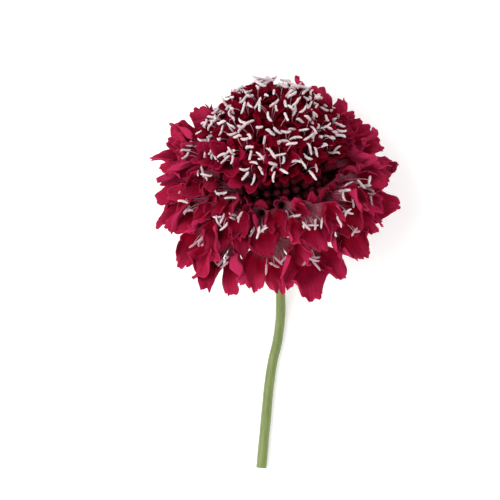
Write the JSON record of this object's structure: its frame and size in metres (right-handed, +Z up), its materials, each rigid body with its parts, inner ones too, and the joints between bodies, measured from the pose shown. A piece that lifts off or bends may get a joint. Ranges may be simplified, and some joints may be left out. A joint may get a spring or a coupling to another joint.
{
  "type": "scabiosa flower",
  "caption": "Cut scabiosa flower lying on its side: a domed head of small florets with pale anthers, ringed by large frilled florets, on a slender bare stem.",
  "frame": {"origin": "centre of the flower's footprint, on the surface that it lies on", "axes": "+Z up from that surface; +Y along the stem, from its cut end towards the flower head; +X to the right of the head, seen from above with the stem pointing down the page"},
  "size_m": [0.06, 0.0926, 0.0463],
  "materials": {
    "petal": "satin",
    "dome_petal": "satin",
    "bud": "satin",
    "receptacle": "matte",
    "bract": "matte",
    "stem": "satin",
    "anther": "matte",
    "filament": "satin"
  },
  "bodies": {
    "root": {"receptacle": "receptacle", "stem": "stem", "bud_ring": "bud", "bract_01": "bract", "bract_02": "bract", "bract_03": "bract", "bract_04": "bract", "bract_05": "bract", "bract_06": "bract", "bract_07": "bract", "bract_08": "bract", "outer_floret_01": "petal", "outer_floret_02": "petal", "outer_floret_03": "petal", "outer_floret_04": "petal", "outer_floret_05": "petal", "outer_floret_06": "petal", "outer_floret_07": "petal", "outer_floret_08": "petal", "outer_floret_09": "petal", "outer_floret_10": "petal", "outer_floret_11": "petal", "outer_floret_12": "petal", "outer_floret_13": "petal", "second_floret_01": "petal", "second_floret_02": "petal", "second_floret_03": "petal", "second_floret_04": "petal", "second_floret_05": "petal", "second_floret_06": "petal", "second_floret_07": "petal", "second_floret_08": "petal", "second_floret_09": "petal", "second_floret_10": "petal", "second_floret_11": "petal", "second_floret_12": "petal", "second_floret_13": "petal", "dome_floret_01": "dome_petal", "dome_floret_02": "dome_petal", "dome_floret_03": "dome_petal", "dome_floret_04": "dome_petal", "dome_floret_05": "dome_petal", "dome_floret_06": "dome_petal", "dome_floret_07": "dome_petal", "dome_floret_08": "dome_petal", "dome_floret_09": "dome_petal", "dome_floret_10": "dome_petal", "dome_floret_11": "dome_petal", "dome_floret_12": "dome_petal", "dome_floret_13": "dome_petal", "dome_floret_14": "dome_petal", "dome_floret_15": "dome_petal", "dome_floret_16": "dome_petal", "dome_floret_17": "dome_petal", "dome_floret_18": "dome_petal", "dome_floret_19": "dome_petal", "dome_floret_20": "dome_petal", "dome_floret_21": "dome_petal", "dome_floret_22": "dome_petal", "dome_floret_23": "dome_petal"}
  },
  "joints": []
}
